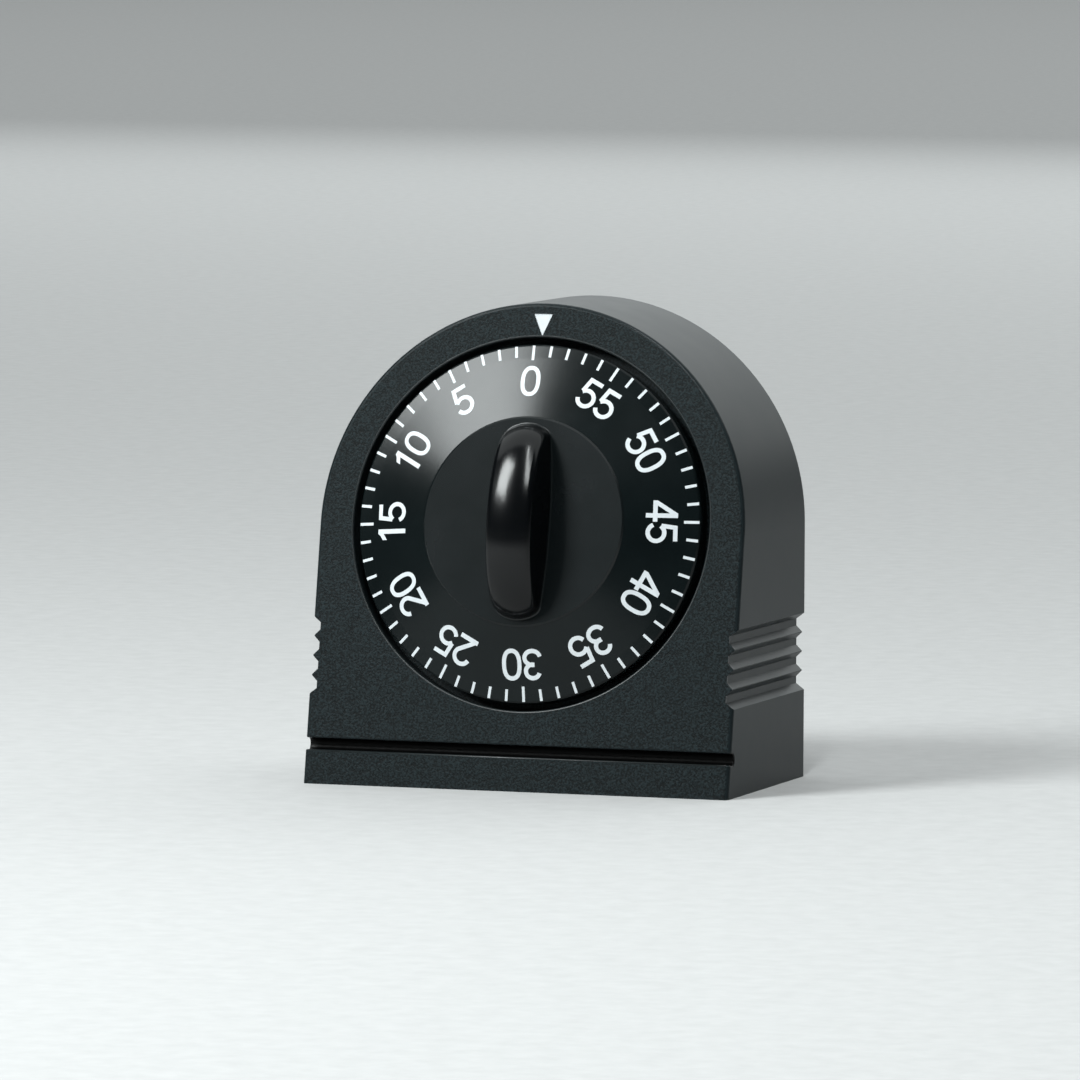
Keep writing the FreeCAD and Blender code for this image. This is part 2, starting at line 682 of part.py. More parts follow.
def grip_bar():
    """The arched bar: a thick lens turned about the X axis, then pressed down to the grip's height.

    Its outline from above is long with rounded ends, and its crest falls in an arch to both ends."""
    reach = GRIP_LENGTH / 2
    flank_centre = (GRIP_WIDTH / 2 - GRIP_FLANK_R, 0)
    crest_centre = (0, reach - GRIP_CREST_R)
    edge_centre = upper_crossing(
        flank_centre, GRIP_FLANK_R - GRIP_EDGE_R, crest_centre, GRIP_CREST_R - GRIP_EDGE_R)
    lean = math.degrees(math.atan2(edge_centre[1], edge_centre[0] - flank_centre[0]))
    rise = math.degrees(math.atan2(edge_centre[1] - crest_centre[1], edge_centre[0]))
    sides = []
    for side in (1, -1):
        flank = [polar(GRIP_FLANK_R, turn, flank_centre) for turn in (0, lean / 2, lean)]
        edge = [polar(GRIP_EDGE_R, turn, edge_centre) for turn in (lean, (lean + rise) / 2, rise)]
        for points in (flank, edge):
            sides.append(Part.Arc(*[FreeCAD.Vector(side * x, y, 0) for x, y in points]).toShape())
    top = [polar(GRIP_CREST_R, turn, crest_centre) for turn in (rise, 90, 180 - rise)]
    crest = Part.Arc(*[FreeCAD.Vector(x, y, 0) for x, y in top]).toShape()
    foot = Part.makeLine(FreeCAD.Vector(-GRIP_WIDTH / 2, 0, 0), FreeCAD.Vector(GRIP_WIDTH / 2, 0, 0))
    outline = Part.Wire(Part.__sortEdges__(sides + [crest, foot]))
    lens = Part.Face(outline).revolve(FreeCAD.Vector(0, 0, 0), FreeCAD.Vector(1, 0, 0), 180)
    press = FreeCAD.Matrix()
    press.scale(1, 1, GRIP_HEIGHT / reach)
    return lens.transformGeometry(press)


def main_arbor_shape():
    """The winding shaft, with a flat where the knob's boss grips it."""
    shaft = disc(MAIN_R, REAR_PLATE + END_SHAKE, DISC_TOP - 0.5)
    pivot = disc(MAIN_PIVOT_R, REAR_OUTER - REAR_PIVOT_END, REAR_PLATE + 1)
    flat = block((MAIN_R - SHAFT_FLAT, MAIN_R + 1), (-3, 3), (BOSS_BOTTOM, DISC_TOP))
    return fused([shaft, pivot]).cut(flat)


def make_grip_knob():
    profile = [
        (0, BOSS_BOTTOM),
        (KNOB_BOSS_R, BOSS_BOTTOM),
        (KNOB_BOSS_R, DISC_BOTTOM),
        (DISC_R, DISC_BOTTOM),
        (DISC_R, DISC_TOP - DISC_EDGE),
        (DISC_R - DISC_EDGE, DISC_TOP),
        (0, DISC_TOP),
    ]
    bar = grip_bar()
    bar.translate(FreeCAD.Vector(0, 0, DISC_TOP))
    knob = fused([revolved(profile), bar])
    foot = [edge for edge in knob.Edges if at_foot(edge)]
    knob = knob.makeFillet(GRIP_FOOT_R, foot)
    save_turned("grip_knob", knob.cut(main_arbor_shape()))


def at_foot(edge):
    """True for the edges where the bar meets the disc."""
    box = edge.BoundBox
    level = abs(box.ZMin - DISC_TOP) < 0.01 and abs(box.ZMax - DISC_TOP) < 0.01
    return level and box.YMax < GRIP_LENGTH / 2 + 0.1 and box.XMax < GRIP_WIDTH / 2 + 0.1


# ---------------------------------------------------------------- movement frame
def plate_holes(low, high):
    holes = [disc(PIVOT_R + RUNNING, low, high, place) for place in TRAIN_PLACES]
    holes.append(disc(STAFF_PIVOT_R + RUNNING, low, high, BALANCE_PLACE))
    return holes


def make_front_plate():
    plate = disc(PLATE_R, FRONT_INNER, FRONT_PLATE)
    low, high = FRONT_INNER - 1, FRONT_PLATE + 1
    holes = plate_holes(low, high)
    holes.append(disc(MAIN_R + RUNNING, low, high))
    holes.append(disc(PIVOT_R + RUNNING, low, high, HAMMER_PLACE))
    holes += [disc(PILLAR_STUD_R, low, high, place) for place in PILLAR_PLACES]
    holes += [disc(PLATE_SCREW_R, low, high, polar(*place)) for place in PLATE_SCREW_PLACES]
    save_turned("front_plate", plate.cut(holes))


def make_rear_plate():
    plate = disc(PLATE_R, REAR_OUTER, REAR_PLATE)
    low, high = REAR_OUTER - 1, REAR_PLATE + 1
    holes = plate_holes(low, high)
    holes.append(disc(MAIN_PIVOT_R + RUNNING, low, high))
    holes.append(disc(ARBOR_R + RUNNING, low, high, HAMMER_PLACE))
    holes += [disc(PILLAR_STUD_R, low, high, place) for place in PILLAR_PLACES]
    save_turned("rear_plate", plate.cut(holes))


def make_plate_pillars():
    pillars = []
    for place in PILLAR_PLACES:
        waist = disc(PILLAR_R, REAR_PLATE, FRONT_INNER, place)
        stud = disc(PILLAR_STUD_R, REAR_OUTER - STUD_END, FRONT_PLATE, place)
        pillars.append(fused([waist, stud]))
    save_turned("plate_pillars", Part.makeCompound(pillars))


def make_pillar_nuts():
    nuts = []
    for place in PILLAR_PLACES:
        hexagon = prism([polar(NUT_R, 60 * i, place) for i in range(6)], REAR_OUTER - NUT_HEIGHT, REAR_OUTER)
        nuts.append(hexagon.cut(bore(PILLAR_STUD_R, place)))
    save_turned("pillar_nuts", Part.makeCompound(nuts))


def make_movement_screws():
    screws = []
    for radius, angle in PLATE_SCREW_PLACES:
        place = polar(radius, angle)
        shank = disc(PLATE_SCREW_R, FRONT_INNER - PLATE_SCREW_END, PAN_FRONT - PLATE_SCREW_HEAD / 2, place)
        slot_y = (place[1] - SLOT_HALF, place[1] + SLOT_HALF)
        slot_x = (place[0] - 2 * PLATE_SCREW_R, place[0] + 2 * PLATE_SCREW_R)
        slot = block(slot_x, slot_y, (PAN_FRONT - PLATE_SCREW_SLOT, PAN_FRONT + 1))
        screws.append(fused([shank, plate_screw_head(place)]).cut(slot))
    save_turned("movement_screws", Part.makeCompound(screws))


def make_spring_posts():
    """Three steel pins riveted in the rear plate, where the fixed ends of the springs hook on."""
    posts = [
        disc(MAIN_POST_R, REAR_PLATE, MAINSPRING_LAYER[1], MAINSPRING_POST),
        disc(RETURN_POST_R, REAR_PLATE, RETURN_POST_TOP, HAMMER_POST),
        disc(RETURN_POST_R, REAR_PLATE, RETURN_POST_TOP, RELEASE_POST),
    ]
    save_turned("spring_posts", Part.makeCompound(posts))


# ---------------------------------------------------------------- main arbor group
def make_main_arbor():
    save_turned("main_arbor", main_arbor_shape())


def make_mainspring():
    spring = spiral((0, 0), MAINSPRING, MAINSPRING_LAYER, 90)
    save_turned("mainspring", spring)


def make_great_wheel():
    turn = SECOND_ANGLE
    body = wheel(GREAT_TEETH, GREAT_MODULE, GREAT_LAYER, (0, 0), MAIN_R + RUNNING, turn)
    save_turned("great_wheel", body.cut(bore(RIVET_R, CLICK_PLACE)))


def make_ratchet_wheel():
    tooth = [(RATCHET_R - RATCHET_DEPTH, RATCHET_HALF[0]), (RATCHET_R, RATCHET_HALF[1])]
    body = toothed(RATCHET_TEETH, tooth, CLICK_LAYER[0], CLICK_LAYER[1], (0, 0), RATCHET_TURN)
    save_turned("ratchet_wheel", body.cut(bore(MAIN_R)))


def make_click():
    """The pawl on the great wheel that lets the arbor be wound and then drives the wheel."""
    arm = link(CLICK_PLACE, CLICK_TIP, CLICK_ROOT_R, CLICK_TIP_R, *CLICK_LAYER)
    save_turned("click", arm.cut(bore(RIVET_R + RUNNING, CLICK_PLACE)))


def make_click_rivet():
    shank = disc(RIVET_R, CLICK_LAYER[0] - END_SHAKE, GREAT_LAYER[1], CLICK_PLACE)
    low = CLICK_LAYER[0]
    head = disc(CLICK_RIVET_HEAD_R, low - CLICK_RIVET_HEAD, low - END_SHAKE, CLICK_PLACE)
    save_turned("click_rivet", fused([shank, head]))


def make_click_spring():
    """A thin leaf that presses the back of the click towards the ratchet."""
    low = CLICK_LAYER[0] + CLICK_SPRING_GAP
    blade = link(
        CLICK_SPRING_FOOT, CLICK_SPRING_TIP, CLICK_SPRING_ROOT, CLICK_SPRING_END, low, CLICK_LAYER[1])
    anchor = disc(CLICK_SPRING_FOOT_R, low, GREAT_LAYER[0], CLICK_SPRING_FOOT)
    save_turned("click_spring", fused([blade, anchor]))


def make_strike_cam():
    body = disc(CAM_R, CAM_LAYER[0], CAM_LAYER[1])
    half = NOTCH_WIDTH / 2
    notch = turned(block((NOTCH_BOTTOM_R, CAM_R + 1), (-half, half), MOVEMENT_DEPTH), NOTCH_ANGLE)
    save_turned("strike_cam", body.cut([notch, bore(MAIN_R)]))


# ---------------------------------------------------------------- going train
def make_train():
    save_turned("second_pinion", pinion(SECOND_PLACE, GREAT_MODULE, GREAT_LAYER, SECOND_ANGLE))
    second = wheel(SECOND_TEETH, SECOND_MODULE, SECOND_LAYER, SECOND_PLACE, ARBOR_R, THIRD_DIRECTION)
    save_turned("second_wheel", second)
    save_turned("third_pinion", pinion(THIRD_PLACE, SECOND_MODULE, SECOND_LAYER, THIRD_DIRECTION))
    third = wheel(THIRD_TEETH, THIRD_MODULE, THIRD_LAYER, THIRD_PLACE, ARBOR_R, ESCAPE_DIRECTION)
    save_turned("third_wheel", third)
    save_turned("escape_pinion", pinion(ESCAPE_PLACE, THIRD_MODULE, THIRD_LAYER, ESCAPE_DIRECTION))


def make_escape_wheel():
    tooth = [(ESCAPE_ROOT_R, ESCAPE_HALF[0]), (ESCAPE_R, ESCAPE_HALF[1])]
    first = PALLET_DIRECTION + PALLET_SPAN + 90 / ESCAPE_TEETH
    body = toothed(ESCAPE_TEETH, tooth, ESCAPE_LAYER[0], ESCAPE_LAYER[1], ESCAPE_PLACE, first)
    centres = [polar(ESCAPE_WINDOW_REACH, 36 + 90 * i, ESCAPE_PLACE) for i in range(4)]
    windows = [bore(ESCAPE_WINDOW_R, centre) for centre in centres]
    save_turned("escape_wheel", body.cut(windows + [bore(ARBOR_R, ESCAPE_PLACE)]))


def make_pallet_lever():
    low, high = LEVER_LAYER
    pins = [polar(PALLET_PIN_REACH, PALLET_DIRECTION + side * PALLET_SPAN, ESCAPE_PLACE) for side in (1, -1)]
    arms = [link(PALLET_PLACE, pin, PALLET_HUB_R, PALLET_PIN_EYE_R, low, high) for pin in pins]
    fork_end = BALANCE_DISTANCE - IMPULSE_RADIUS + FORK_LAP
    tip = polar(fork_end - FORK_R, BALANCE_DIRECTION, PALLET_PLACE)
    arms.append(link(PALLET_PLACE, tip, PALLET_HUB_R, FORK_R, low, high))
    lever = fused(arms)
    slot_half = IMPULSE_PIN_R + FORK_CLEARANCE
    slot = block((fork_end - FORK_DEPTH, fork_end + 2), (-slot_half, slot_half), (low - 1, high + 1))
    slot.translate(FreeCAD.Vector(*PALLET_PLACE, 0))
    slot = turned(slot, BALANCE_DIRECTION, PALLET_PLACE)
    holes = [bore(PALLET_PIN_R, pin) for pin in pins]
    save_turned("pallet_lever", lever.cut(holes + [slot, bore(PALLET_ARBOR_R, PALLET_PLACE)]))
    save_turned("pallet_arbor", arbor(PALLET_PLACE, PALLET_ARBOR_R))
    sticks = [disc(PALLET_PIN_R, ESCAPE_LAYER[0] - PIN_OVERHANG, high, pin) for pin in pins]
    save_turned("pallet_pins", Part.makeCompound(sticks))


def make_balance():
    low, high = BALANCE_LAYER
    rim = tube(BALANCE_R, BALANCE_R - BALANCE_RIM, low, high, BALANCE_PLACE)
    hub = disc(BALANCE_HUB_R, low, high, BALANCE_PLACE)
    spoke_reach = BALANCE_R - BALANCE_RIM / 2
    spoke = block((-spoke_reach, spoke_reach), (-SPOKE_HALF, SPOKE_HALF), (low, high))
    spoke.translate(FreeCAD.Vector(*BALANCE_PLACE, 0))
    spokes = [turned(spoke, turn, BALANCE_PLACE) for turn in SPOKE_TURNS]
    save_turned("balance_wheel", fused([rim, hub] + spokes).cut(bore(STAFF_R, BALANCE_PLACE)))
    save_turned("balance_staff", arbor(BALANCE_PLACE, STAFF_R, STAFF_PIVOT_R))
    pin_place = polar(IMPULSE_RADIUS, BALANCE_DIRECTION + 180, BALANCE_PLACE)
    roller = disc(ROLLER_R, ROLLER_LAYER[0], ROLLER_LAYER[1], BALANCE_PLACE)
    pin = disc(IMPULSE_PIN_R, LEVER_LAYER[0] - PIN_OVERHANG, ROLLER_LAYER[1], pin_place)
    save_turned("balance_roller", fused([roller, pin]).cut(bore(STAFF_R, BALANCE_PLACE)))
    collet = tube(COLLET_R, STAFF_R, HAIRSPRING_LAYER[0], HAIRSPRING_LAYER[1], BALANCE_PLACE)
    save_turned("hairspring_collet", collet)
    save_turned("hairspring", spiral(BALANCE_PLACE, HAIRSPRING, HAIRSPRING_LAYER, HAIRSPRING_TURN))
    stud_top = HAIRSPRING_LAYER[1] + PIN_OVERHANG
    save_turned("hairspring_stud", disc(STUD_R, REAR_PLATE, stud_top, HAIRSPRING_STUD))


# ---------------------------------------------------------------- bell train
def make_strike_train():
    turn = STAR_DIRECTION
    strike = wheel(STRIKE_TEETH, STRIKE_MODULE, STRIKE_LAYER, (0, 0), MAIN_R + RUNNING, turn)
    save_turned("strike_wheel", strike)
    save_turned("strike_spring", spiral((0, 0), STRIKE_SPRING, STRIKE_SPRING_LAYER))
    save_turned("star_pinion", pinion(STAR_PLACE, STRIKE_MODULE, STRIKE_LAYER, STAR_DIRECTION))
    tooth = [(STAR_ROOT_R, STAR_HALF[0]), (STAR_R, STAR_HALF[1])]
    star = toothed(STAR_TEETH, tooth, STAR_LAYER[0], STAR_LAYER[1], STAR_PLACE, STAR_TURN)
    save_turned("star_wheel", star.cut(bore(ARBOR_R, STAR_PLACE)))


def make_hammer():
    low, high = STAR_LAYER
    tail_tip = polar(TAIL_LENGTH, TAIL_DIRECTION, HAMMER_PLACE)
    tail = link(HAMMER_PLACE, tail_tip, TAIL_HUB_R, TAIL_TIP_R, low, high)
    save_turned("hammer_tail", tail.cut(bore(ARBOR_R, HAMMER_PLACE)))
    body = disc(ARBOR_R, HAMMER_LAYER[0], FRONT_INNER - END_SHAKE, HAMMER_PLACE)
    pivot = disc(PIVOT_R, FRONT_INNER - 1, FRONT_PLATE - PIVOT_END, HAMMER_PLACE)
    save_turned("hammer_arbor", fused([body, pivot]))
    head_place = (BELL_PLACE[0] + HAMMER_HEAD_REACH, BELL_PLACE[1])
    arm = link(HAMMER_PLACE, head_place, HAMMER_HUB_R, HAMMER_EYE_R, *HAMMER_LAYER)
    arm = arm.cut([bore(ARBOR_R, HAMMER_PLACE), bore(HAMMER_HEAD_RIVET_R, head_place)])
    save_turned("hammer_arm", arm)
    low, high = HAMMER_LAYER
    head = fused([disc(HAMMER_HEAD_R, low - HAMMER_HEAD_LENGTH, low, head_place),
                  disc(HAMMER_HEAD_RIVET_R, low - HAMMER_HEAD_LENGTH, high, head_place)])
    save_turned("hammer_head", head)
    save_turned("hammer_spring", return_spring(HAMMER_PLACE, 0.0))


def return_spring(place, turn):
    """The small coil spring of the hammer or the release lever."""
    return spiral(place, RETURN_SPRING, RETURN_SPRING_LAYER, turn)


def make_release_lever():
    low, high = CAM_LAYER
    nose = polar(CAM_R + NOSE_R + NOSE_GAP, NOSE_ANGLE)
    nose_arm = link(RELEASE_PLACE, nose, RELEASE_HUB_R, NOSE_R, low, high)
    save_turned("release_nose_arm", nose_arm.cut(bore(ARBOR_R, RELEASE_PLACE)))
    to_lever = math.degrees(math.atan2(RELEASE_PLACE[1] - STAR_PLACE[1], RELEASE_PLACE[0] - STAR_PLACE[0]))
    stop_tip = polar(STAR_R + STOP_TIP_GAP, to_lever, STAR_PLACE)
    stop_arm = link(RELEASE_PLACE, stop_tip, RELEASE_HUB_R, STOP_TIP_R, *STAR_LAYER)
    save_turned("release_stop_arm", stop_arm.cut(bore(ARBOR_R, RELEASE_PLACE)))
    save_turned("release_arbor", arbor(RELEASE_PLACE))
    save_turned("release_spring", return_spring(RELEASE_PLACE, 90.0))


def bell_cup(radius, top, shoulder):
    """A solid cup with a rounded shoulder, from the bell's rim back to top."""
    cup = disc(radius, top, BELL_RIM, BELL_PLACE)
    rim = [edge for edge in cup.Edges if edge.BoundBox.ZMax < top + 0.01]
    return cup.makeFillet(shoulder, rim)


def make_bell():
    outside = bell_cup(BELL_R, BELL_TOP, BELL_SHOULDER_R)
    inside = bell_cup(BELL_R - BELL_THICK, BELL_TOP + BELL_THICK, BELL_SHOULDER_R - BELL_THICK)
    save_turned("bell", outside.cut([inside, bore(BELL_SCREW_R, BELL_PLACE)]))
    post = disc(BELL_POST_R, BELL_TOP + BELL_THICK, REAR_OUTER, BELL_PLACE)
    thread = disc(BELL_SCREW_R, BELL_TOP, BELL_TOP + BELL_SCREW_LENGTH, BELL_PLACE)
    save_turned("bell_post", post.cut(thread))
    head = disc(BELL_SCREW_HEAD_R, BELL_TOP - BELL_SCREW_HEAD, BELL_TOP, BELL_PLACE)
    slot_y = (BELL_PLACE[1] - SLOT_HALF, BELL_PLACE[1] + SLOT_HALF)
    slot = block((-3, 3), slot_y, (BELL_TOP - 2, BELL_TOP - BELL_SCREW_HEAD / 2))
    save_turned("bell_screw", fused([thread, head]).cut(slot))


def main():
    make_front_case()
    make_pointer_marker()
    make_back_cover()
    make_cover_screws()
    make_dial_ring()
    make_grip_knob()
    make_front_plate()
    make_rear_plate()
    make_plate_pillars()
    make_pillar_nuts()
    make_movement_screws()
    make_spring_posts()
    make_main_arbor()
    make_mainspring()
    make_great_wheel()
    make_ratchet_wheel()
    make_click()
    make_click_rivet()
    make_click_spring()
    make_strike_cam()
    make_train()
    make_escape_wheel()
    make_pallet_lever()
    make_balance()
    make_strike_train()
    make_hammer()
    make_release_lever()
    make_bell()


main()
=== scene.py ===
import json
import math

import bmesh
import bpy
from mathutils import Matrix, Vector


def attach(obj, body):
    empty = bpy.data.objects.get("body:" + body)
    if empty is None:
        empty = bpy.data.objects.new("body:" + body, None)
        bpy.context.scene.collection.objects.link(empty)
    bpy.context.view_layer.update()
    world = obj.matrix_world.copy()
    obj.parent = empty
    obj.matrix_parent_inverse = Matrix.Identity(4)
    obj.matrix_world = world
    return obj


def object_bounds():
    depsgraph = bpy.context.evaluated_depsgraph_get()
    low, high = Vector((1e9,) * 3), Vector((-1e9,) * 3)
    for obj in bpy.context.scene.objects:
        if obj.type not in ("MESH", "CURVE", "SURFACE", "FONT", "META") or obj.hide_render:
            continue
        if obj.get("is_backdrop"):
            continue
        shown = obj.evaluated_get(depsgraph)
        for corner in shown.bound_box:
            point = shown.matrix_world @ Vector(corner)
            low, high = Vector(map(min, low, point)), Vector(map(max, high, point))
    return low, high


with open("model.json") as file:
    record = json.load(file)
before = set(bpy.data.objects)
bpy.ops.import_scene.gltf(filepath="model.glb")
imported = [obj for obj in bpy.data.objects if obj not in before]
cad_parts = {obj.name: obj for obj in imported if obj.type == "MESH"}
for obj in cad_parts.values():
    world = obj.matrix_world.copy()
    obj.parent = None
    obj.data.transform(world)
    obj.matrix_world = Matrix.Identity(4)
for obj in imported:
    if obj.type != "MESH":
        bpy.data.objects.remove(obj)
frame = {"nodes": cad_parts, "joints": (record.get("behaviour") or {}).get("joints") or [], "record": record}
CAD_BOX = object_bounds()

# A wind-up sixty minute timer. Lengths in this script are in millimetres unless a name ends in _M
# or _m, and MM turns them into the scene's metres. Angles are in degrees and colours are linear.
MM = 0.001

# ---- the dial frame: its origin is where the dial axis meets the sloping front face,
# X is the row's X, Y runs up the slope and Z comes out of the face
JOINTS = {joint["name"]: joint for joint in frame["joints"]}
DIAL_ORIGIN_M = Vector(JOINTS["dial_turn"]["pos_m"])
OUT = -Vector(JOINTS["dial_turn"]["axis"]).normalized()
ACROSS = Vector((1, 0, 0))
SLOPE_UP = OUT.cross(ACROSS)
DIAL_TO_ROW = Matrix.Translation(DIAL_ORIGIN_M) @ Matrix((ACROSS, SLOPE_UP, OUT)).transposed().to_4x4()

# ---- printed scale
MINUTES = 60
FIGURE_MINUTES = 5              # minutes from one figure to the next
MINUTE_TURN = 360 / MINUTES
FIRST_TICK_TURN = 2.0           # the 0 tick stands this far anticlockwise of the pointer at rest
TICK_OUTER_R = 30.3
TICK_INNER_R = 28.35
LONG_TICK_INNER_R = 27.75
TICK_WIDTH = 0.48
FIGURE_R = 24.1
INK = 0.03                      # how far the print stands off the dial
STROKE_STEP = 0.003             # how far a figure's next stroke stands off the one before

# ---- figures, each drawn about x = 0 from y = 0 to its height
FIGURE_HEIGHT = 5.3
FIGURE_STROKE = 0.72            # width of the curved strokes
FIGURE_BAR = 0.76               # width of the two's base and of the four's stem
FIGURE_ADVANCE = 3.7
MITRE_LIMIT = 0.5               # keeps a stroke's sharp corners from running out
ZERO_HALF_WIDTH = 1.38
ZERO_SIDES = 64
ZERO_SIDE_POWER = 0.86          # 1 would make the zero an ellipse, and less squares it off
ZERO_END_POWER = 0.80
TWO_HALF_WIDTH = 1.72
FIVE_BAR_Y = 4.91

# ---- the dial's section, as radius and height above the front face: a narrow rim band, then a cone
RIM_R, RIM_N = 30.2, 0.65
BAND_R, BAND_N = 28.1, 1.1
CONE_TOP_R, CONE_TOP_N = 17.92, 3.55
DISC_TOP_N = 3.85
GRIP_START_N = DISC_TOP_N + 0.05
GRIP_POLISH_N = DISC_TOP_N + 0.35

# ---- the groove above the base strip, and the shade painted inside it
GROOVE_LOW_Y = -39.6
GROOVE_WIDTH = 2.0
GROOVE_SHADE_N = -1.3                 # the groove's inside is painted dark as shade, in a round zone about a line at this height
GROOVE_SHADE_R = 1.15
GROOVE_SHADE_END_R = 1.35

# ---- rounded edges of the window and of the groove's lower side, as in the case
WINDOW_R = 31.8
WINDOW_LIP = 0.35
GROOVE_LIP = 0.25
GROOVE_LIP_REACH = 37.3
LIP_SIDES = 240
LIP_STEP = 10                   # degrees between the points of a rounded edge
SKIN = 0.012                    # how far the polished skin stands off the case

# ---- the case's plastic: where it counts as front, and how deep the worn edges reach
FRONT_FACING = (0.90, 0.99)
TURNED_AWAY = 0.5
WORN_N = (-0.4, -0.3)
SPARK_SCALE = 2800.0            # scales of a noise are per metre
SPARK_EDGES = (0.42, 0.62)
SPARK_DEPTH = 0.06
CASE_CLOUD_SCALE = 160.0        # a cloud is a slow change of colour and gloss over a surface
CASE_UNEVEN = (0.92, 1.08)
CASE_SPECULAR = 0.15
SIDE_DARK, SIDE_LIGHT = (0.011, 0.0155, 0.017, 1), (0.014, 0.019, 0.021, 1)
SPARK_DARK, SPARK_LIGHT = (0.0005, 0.0025, 0.003, 1), (0.0095, 0.017, 0.0195, 1)
# painted shade: near-black colours for the inside of the groove above the base strip
GROOVE_SHADE_DARK, GROOVE_SHADE_LIGHT = (0.001, 0.001, 0.001, 1), (0.002, 0.002, 0.002, 1)
SIDE_ROUGHNESS, FRONT_ROUGHNESS = 0.37, 0.48
WORN_SHARE = 0.55               # a worn edge's roughness, as a share of the plain one

# ---- the other plastics, the ink and the metals
PLASTIC_GRAIN_SCALE = 1800.0
PLASTIC_CLOUD = {"scale": 90.0, "detail": 3.0, "roughness": 0.6}
COLOUR_SPREAD = 0.15
GLOSS_SPREAD = 0.04
EDGE_COLOUR = (0.010, 0.014, 0.015)
COVER_COLOUR = (0.017, 0.022, 0.024)
DIAL_COLOUR = (0.0035, 0.006, 0.0065)
DISC_DARK, DISC_LIGHT = (0.004, 0.0065, 0.007, 1), (0.0055, 0.008, 0.009, 1)
GRIP_DARK, GRIP_LIGHT = (0.001, 0.0015, 0.002, 1), (0.002, 0.0025, 0.003, 1)
DISC_ROUGHNESS, GRIP_ROUGHNESS = 0.27, 0.18
KNOB_GRAIN_DEPTH = 0.004
KNOB_UNEVEN = (0.9, 1.1)
KNOB_SPECULAR = 0.34
INK_DULL, INK_CLEAN = (0.61, 0.645, 0.67, 1), (0.67, 0.71, 0.735, 1)
INK_CLOUD_SCALE = 900.0
INK_ROUGHNESS = 0.45
METAL_STRETCH = (1.0, 1.0, 12.0)
METAL_DARK_SHARE = 0.8
METAL_GLOSS_LOW, METAL_GLOSS_HIGH = 0.05, 0.08
ZINC = (0.5, 0.5, 0.5)
STEEL = (0.55, 0.55, 0.56)
BLUED_STEEL = (0.20, 0.24, 0.36)
NICKEL = (0.72, 0.71, 0.69)
PLATE_BRASS = (0.72, 0.54, 0.26)
WHEEL_BRASS = (0.80, 0.61, 0.28)

# ---- room
FLOOR_R_M = 8.0
FLOOR_RIM_M = 0.9
FLOOR_SIDES = 96
FLOOR_RIM_STEP = 10             # degrees between the rings of the turned-up rim
FLOOR_DARK, FLOOR_LIGHT = (0.48, 0.48, 0.48, 1), (0.52, 0.52, 0.52, 1)
FLOOR_FIBRE = {"scale": 220.0, "detail": 3.0, "roughness": 0.6}
FLOOR_ROUGHNESS = 0.9
LIGHT_AIM_M = Vector((0, 0, 0.045))
OVERHEAD_AIM_M = Vector((0, 3.8, 0))
OVERHEAD_RISE_M = Vector((0, 0, 4.0))
LIGHT_COLOUR = (0.95, 1.0, 1.0)
WORLD_COLOUR = (0.86, 0.88, 0.92, 1.0)
WORLD_STRENGTH = 0.03

# ---- camera
CAMERA_AZIMUTH = 19.184
CAMERA_ELEVATION = 4.543
CAMERA_ROLL = 0.227
CAMERA_DISTANCE_M = 1.62867
CAMERA_AIM_M = Vector((0, 0, 0.040))
CAMERA_LENS = 318.44
CAMERA_SENSOR = 36.0
CAMERA_CLIP_M = (0.05, 20.0)
AIM_SLIDE_RIGHT_M = -0.002567
AIM_SLIDE_UP_M = 0.001086


# ---------------------------------------------------------------- node helpers
# the Mix node's sockets for colours share their names with its others, so they go by number
MIX_FACTOR, MIX_FIRST, MIX_SECOND, MIX_RESULT = 0, 6, 7, 2


def new_material(name):
    material = bpy.data.materials.new(name)
    material.use_nodes = True
    nodes = material.node_tree.nodes
    nodes.clear()
    output = nodes.new("ShaderNodeOutputMaterial")
    shader = nodes.new("ShaderNodeBsdfPrincipled")
    material.node_tree.links.new(shader.outputs["BSDF"], output.inputs["Surface"])
    return material, shader


def add(material, kind, **values):
    """A new node. Each value goes to the input of its name or, where there is none, to that property."""
    node = material.node_tree.nodes.new(kind)
    for key, value in values.items():
        if key in node.inputs:
            node.inputs[key].default_value = value
        else:
            setattr(node, key, value)
    return node


def join(material, source, target):
    material.node_tree.links.new(source, target)


def object_coordinates(material):
    return add(material, "ShaderNodeTexCoord").outputs["Object"]


def noise(material, coordinates, scale, detail=2.0, roughness=0.5):
    node = add(material, "ShaderNodeTexNoise", Scale=scale, Detail=detail, Roughness=roughness)
    join(material, coordinates, node.inputs["Vector"])
    return node.outputs["Fac"]


def ramp(material, factor, low_colour, high_colour, low=0.3, high=0.7):
    """A blend from one colour to another, between two values of a factor."""
    node = add(material, "ShaderNodeValToRGB")
    node.color_ramp.elements[0].position = low
    node.color_ramp.elements[1].position = high
    node.color_ramp.elements[0].color = low_colour
    node.color_ramp.elements[1].color = high_colour
    join(material, factor, node.inputs["Fac"])
    return node.outputs["Color"]


def blend(material, factor, first, second):
    """The first colour where the factor is 0, the second where it is 1."""
    node = add(material, "ShaderNodeMix", data_type="RGBA")
    join(material, factor, node.inputs[MIX_FACTOR])
    join(material, first, node.inputs[MIX_FIRST])
    join(material, second, node.inputs[MIX_SECOND])
    return node.outputs[MIX_RESULT]


def map_range(material, value, **limits):
    node = add(material, "ShaderNodeMapRange", **limits)
    join(material, value, node.inputs["Value"])
    return node.outputs["Result"]


def spread(material, factor, low, high):
    """A factor of 0 gives low, and 1 gives high."""
    return map_range(material, factor, **{"To Min": low, "To Max": high})


def step_between(material, value, low, high):
    """0 where a value is below low, 1 where it is above high."""
    return map_range(material, value, **{"From Min": low, "From Max": high})


def times(material, first, second):
    node = add(material, "ShaderNodeMath", operation="MULTIPLY")
    join(material, first, node.inputs[0])
    join(material, second, node.inputs[1])
    return node.outputs["Value"]


